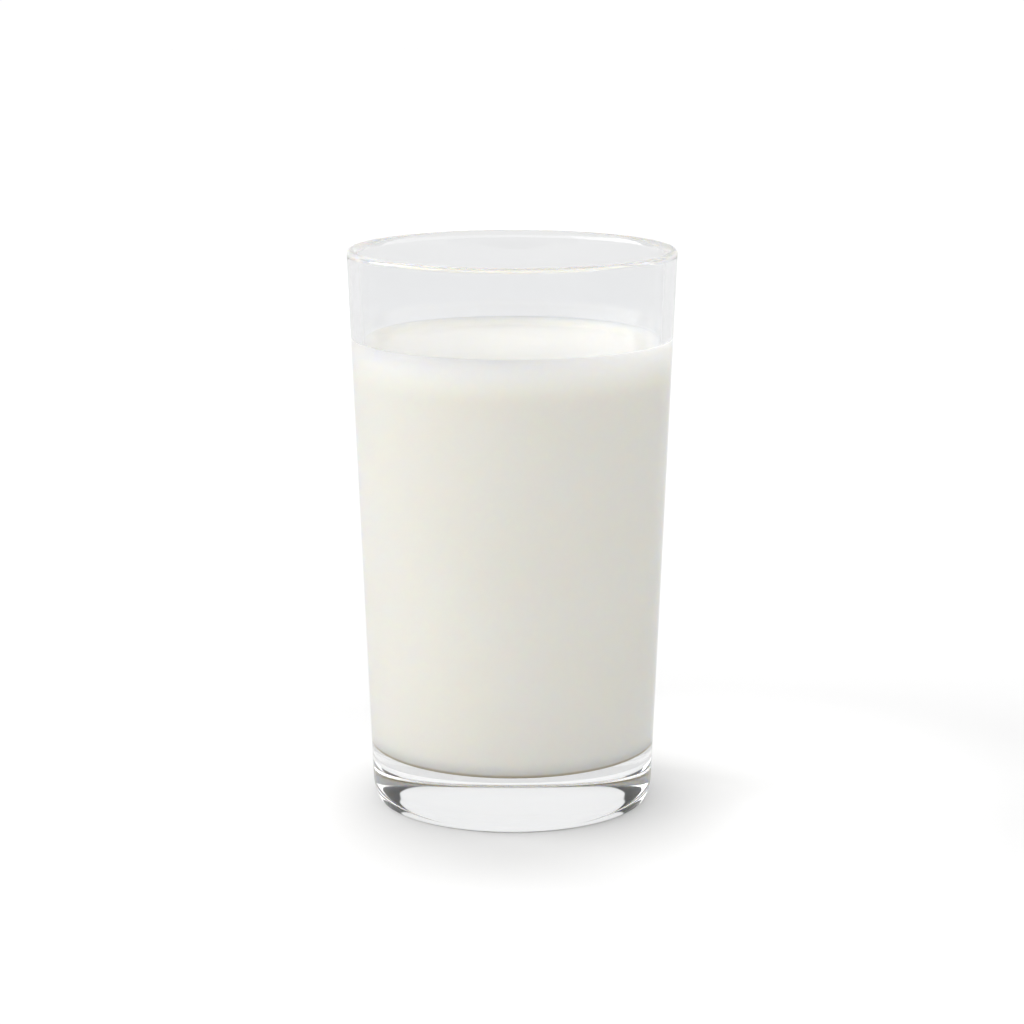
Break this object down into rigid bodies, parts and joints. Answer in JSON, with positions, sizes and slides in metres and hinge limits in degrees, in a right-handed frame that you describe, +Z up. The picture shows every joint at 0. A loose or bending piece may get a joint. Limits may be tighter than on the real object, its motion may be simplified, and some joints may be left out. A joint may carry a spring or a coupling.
{
  "type": "glass of milk",
  "caption": "Plain straight-sided glass tumbler with a thick clear base, tapering slightly to the foot, filled with milk to about four fifths of its height.",
  "frame": {"origin": "centre of the level ring on the underside that the tumbler stands on, at the bottom of the bounding box", "axes": "+Z up along the axis of the tumbler; X and Y are equivalent because the part is a body of revolution"},
  "size_m": [0.07, 0.07, 0.12],
  "materials": {
    "glass": "clear polished glass",
    "milk": "whole milk, opaque warm white with a soft wet shine"
  },
  "bodies": {
    "root": {"glass": "glass", "milk": "milk"}
  },
  "joints": []
}
